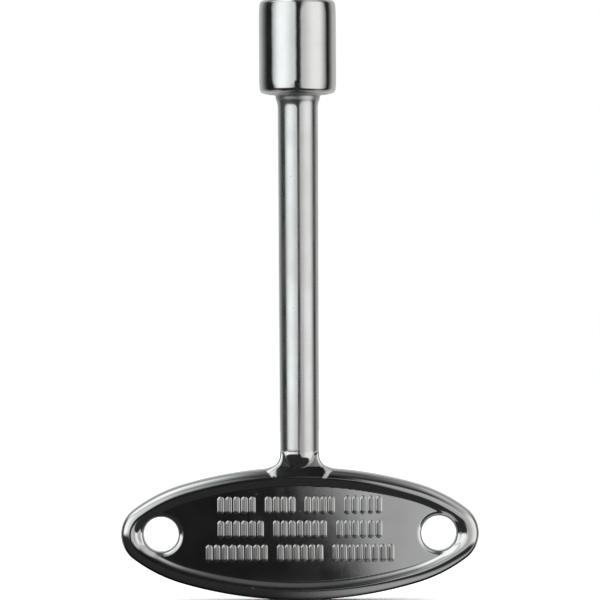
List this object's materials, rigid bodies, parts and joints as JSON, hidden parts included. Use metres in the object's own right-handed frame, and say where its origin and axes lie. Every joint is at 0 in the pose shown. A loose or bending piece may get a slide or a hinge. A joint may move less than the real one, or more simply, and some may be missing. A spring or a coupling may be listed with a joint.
{
  "type": "valve key",
  "caption": "Valve key with a round socket holding a stepped square, a slim round shank and a flat oval bow with a raised rim, grip ribs and hang holes.",
  "frame": {"origin": "centre of the socket's mouth on the drive axis", "axes": "+Z out of the socket's mouth along the drive axis, X along the wide bow, -Y is the bow's front face"},
  "size_m": [0.059, 0.0126, 0.0988],
  "materials": {
    "socket_chrome": "bright chrome plate",
    "bush_steel": "bare hardened steel",
    "shank_chrome": "bright chrome plate",
    "bow_chrome": "bright chrome plate on a die casting"
  },
  "bodies": {
    "root": {"socket": "socket_chrome", "reducer_bush": "bush_steel", "shank": "shank_chrome", "bow": "bow_chrome"}
  },
  "joints": []
}
